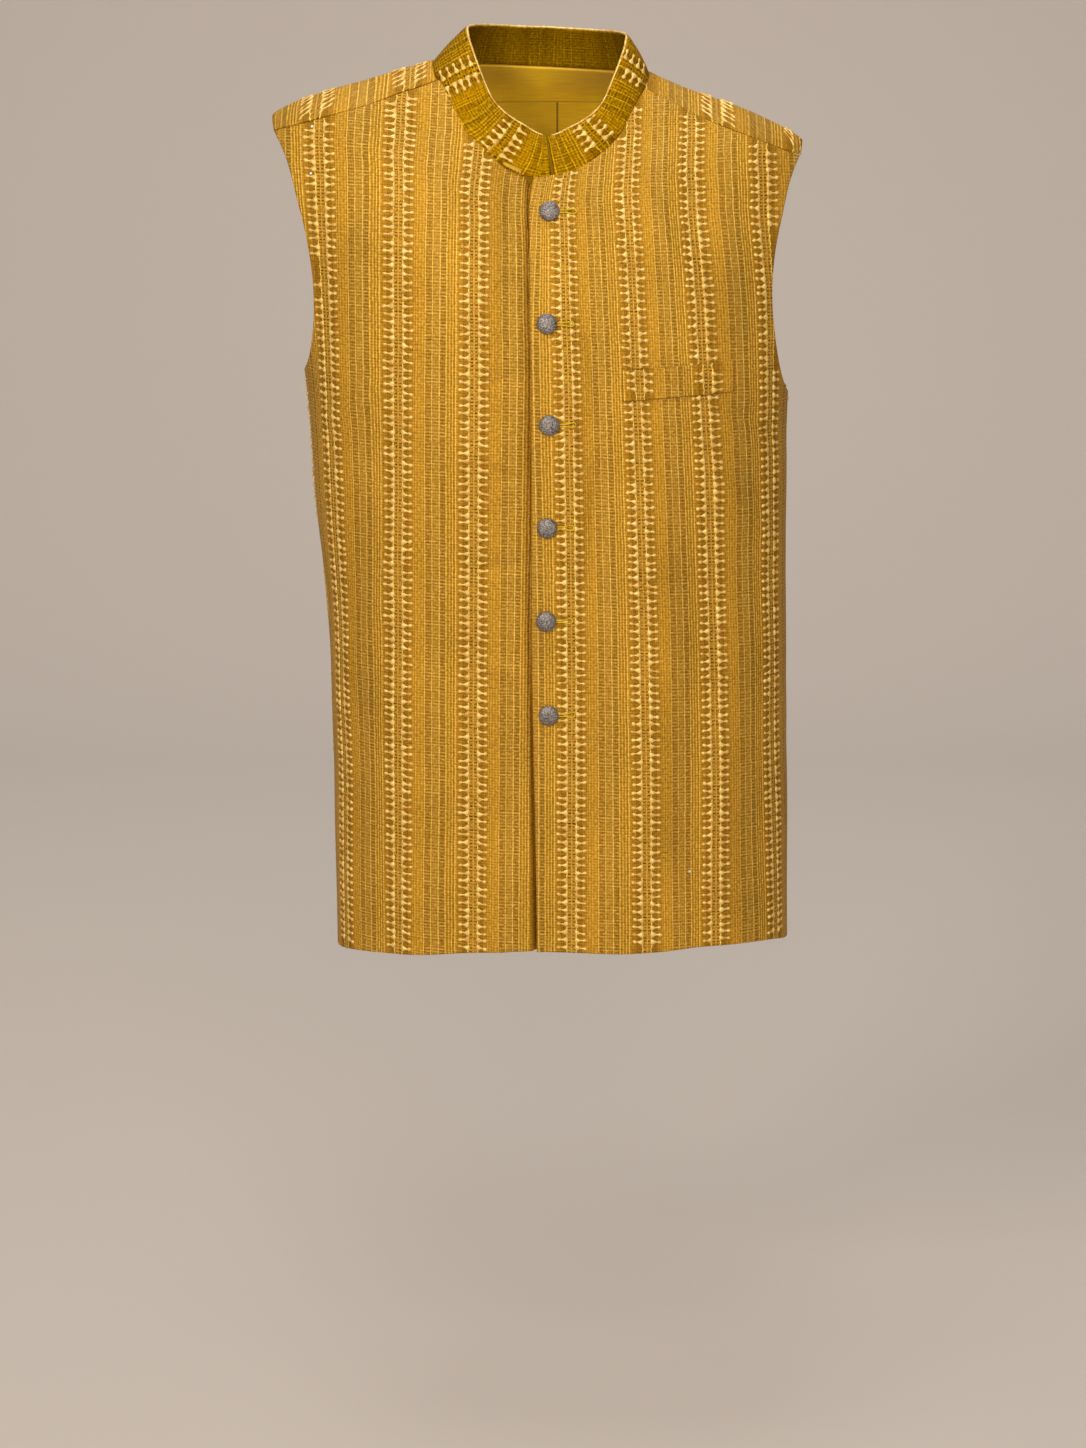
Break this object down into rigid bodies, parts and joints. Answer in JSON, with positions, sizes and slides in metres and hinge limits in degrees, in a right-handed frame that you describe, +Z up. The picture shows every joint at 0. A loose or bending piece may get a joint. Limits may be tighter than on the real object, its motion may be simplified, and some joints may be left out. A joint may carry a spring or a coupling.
{
  "type": "zardozi vest",
  "caption": "Sleeveless stand-collar vest in vertically striped gold-thread cloth, closed down the front with domed metal buttons under an overlapping left front, with a chest welt",
  "frame": {"origin": "between the wearer's shoulders, at the height where the shoulder seams meet the collar", "axes": "+Z up, the buttoned front faces -Y, +X towards the wearer's left"},
  "size_m": [0.4379, 0.2378, 0.7763],
  "materials": {
    "gold_cloth": "raised metallic-thread embroidery in vertical bands, half-bright",
    "lining_silk": "plain woven silk, soft sheen",
    "aged_metal": "cast, oxidised and lightly polished"
  },
  "bodies": {
    "root": {"front_left": "gold_cloth", "front_right": "gold_cloth", "back": "gold_cloth", "collar": "gold_cloth", "pocket_welt": "gold_cloth", "back_lining": "lining_silk", "button_1": "aged_metal", "button_2": "aged_metal", "button_3": "aged_metal", "button_4": "aged_metal", "button_5": "aged_metal", "button_6": "aged_metal"}
  },
  "joints": []
}
